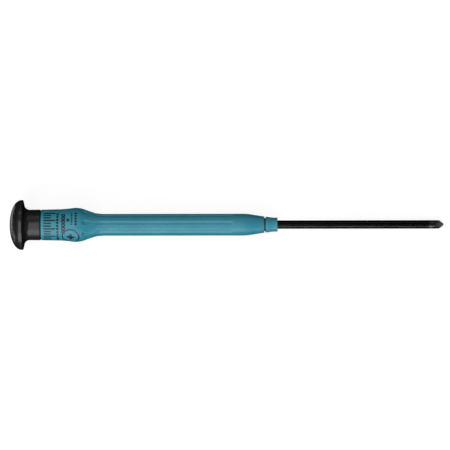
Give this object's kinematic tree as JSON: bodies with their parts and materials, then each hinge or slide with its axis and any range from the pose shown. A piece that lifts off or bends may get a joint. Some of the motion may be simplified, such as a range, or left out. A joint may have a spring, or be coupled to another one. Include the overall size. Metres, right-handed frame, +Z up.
{
  "type": "precision screwdriver",
  "caption": "Slim fluted screwdriver with a domed swivel cap and a fixed cross-point blade, for small screws in watches and instruments.",
  "frame": {"origin": "on the surface the driver lies on, under the middle of its box", "axes": "+X along the driver from the cap to the blade's tip, seen from above; +Z up. The driver's own axis dips 2.85 degrees towards the tip, because it lies on its cap's rim and on the end of its blade"},
  "size_m": [0.1564, 0.018, 0.018],
  "materials": {
    "grip_plastic": "satin moulded",
    "cap_plastic": "satin moulded",
    "washer_plastic": "plain",
    "black_steel": "black oxide",
    "bright_steel": "ground",
    "brass": "turned"
  },
  "bodies": {
    "handle": {"handle_barrel": "grip_plastic", "pivot_bush": "brass", "thrust_washer": "washer_plastic", "thrust_seat": "bright_steel", "nose_collar": "grip_plastic", "tang_sleeve": "brass", "tang_pin": "bright_steel", "blade": "black_steel"},
    "cap": {"swivel_cap": "cap_plastic", "pivot_pin": "bright_steel", "retaining_clip": "bright_steel", "thrust_ball": "bright_steel"}
  },
  "joints": [
    {"name": "cap_spin", "type": "hinge", "parent": "handle", "child": "cap", "pos_m": [-0.06165, 0, 0.00839], "axis": [0.9988, 0, -0.0497], "continuous": true}
  ]
}
